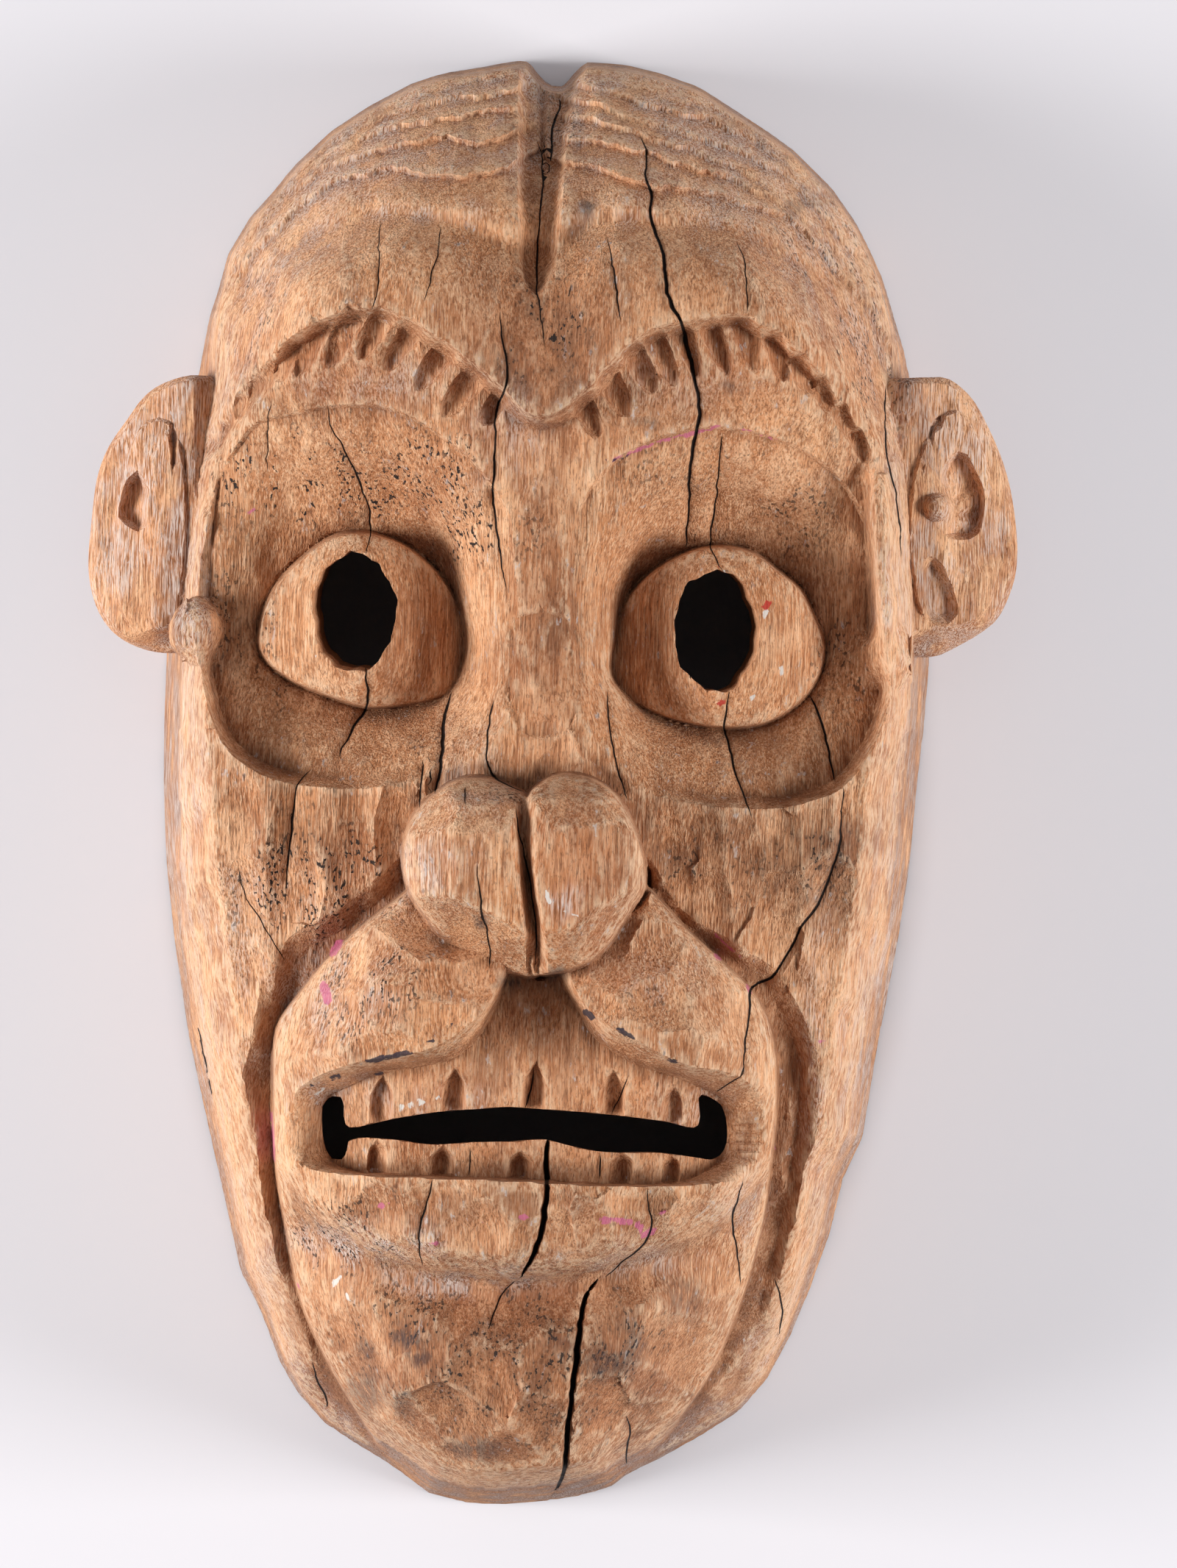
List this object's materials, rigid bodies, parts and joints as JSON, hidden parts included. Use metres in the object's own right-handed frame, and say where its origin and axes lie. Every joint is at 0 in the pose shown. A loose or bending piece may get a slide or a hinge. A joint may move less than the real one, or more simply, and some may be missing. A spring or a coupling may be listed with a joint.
{
  "type": "carved wooden face mask",
  "caption": "Hollow carved wooden face mask with bulging pierced eyes, open toothed mouth, split bulbous nose, deep brow and set-out ears, lying face up.",
  "frame": {"origin": "middle of the box around the mask, on the plane of its flat back rim, which is what it lies on", "axes": "+Z out of the face, +Y from the chin to the top of the forehead, +X to the right as a viewer sees the face"},
  "size_m": [0.2248, 0.3592, 0.127],
  "materials": {
    "raw_wood": "raw, weathered and unvarnished, with gouge marks, drying cracks, grey bloom and traces of old pink and blue-black paint"
  },
  "bodies": {
    "root": {"mask": "raw_wood"}
  },
  "joints": []
}
